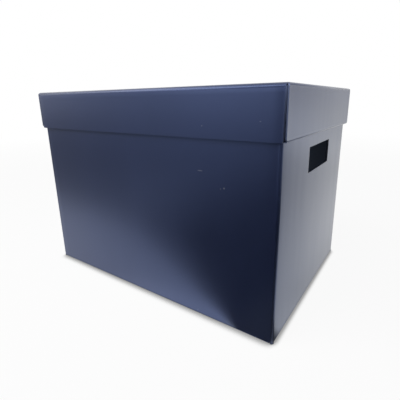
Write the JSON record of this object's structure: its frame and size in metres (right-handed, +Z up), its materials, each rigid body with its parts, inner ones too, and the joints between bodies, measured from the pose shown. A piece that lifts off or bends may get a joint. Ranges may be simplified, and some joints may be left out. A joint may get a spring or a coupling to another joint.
{
  "type": "lidded storage box",
  "caption": "Rectangular storage box folded from plastic sheet, with a deep lift-off lid and a hand hole through each lined end wall.",
  "frame": {"origin": "on the floor, under the middle of the closed box", "axes": "+X along the box towards the end with the pictured hand hole, +Y from the front wall to the back wall, +Z up through the lid"},
  "size_m": [0.4098, 0.2776, 0.282],
  "materials": {
    "body_sheet": "satin navy polypropylene sheet, coloured all through",
    "lid_sheet": "satin navy polypropylene sheet, coloured all through"
  },
  "bodies": {
    "box": {"front_wall": "body_sheet", "back_wall": "body_sheet", "right_end_wall": "body_sheet", "left_end_wall": "body_sheet", "seam_flap": "body_sheet", "right_end_lining": "body_sheet", "left_end_lining": "body_sheet", "front_floor_flap": "body_sheet", "back_floor_flap": "body_sheet", "right_floor_flap": "body_sheet", "left_floor_flap": "body_sheet"},
    "lid": {"lid_top": "lid_sheet", "lid_front_skirt": "lid_sheet", "lid_back_skirt": "lid_sheet", "lid_right_skirt": "lid_sheet", "lid_left_skirt": "lid_sheet", "lid_right_lining": "lid_sheet", "lid_left_lining": "lid_sheet", "lid_front_right_flap": "lid_sheet", "lid_front_left_flap": "lid_sheet", "lid_back_right_flap": "lid_sheet", "lid_back_left_flap": "lid_sheet"}
  },
  "joints": [
    {"name": "lid_lift", "type": "slide", "parent": "box", "child": "lid", "axis": [0, 0, 1], "range_m": [0, 0.12]}
  ]
}
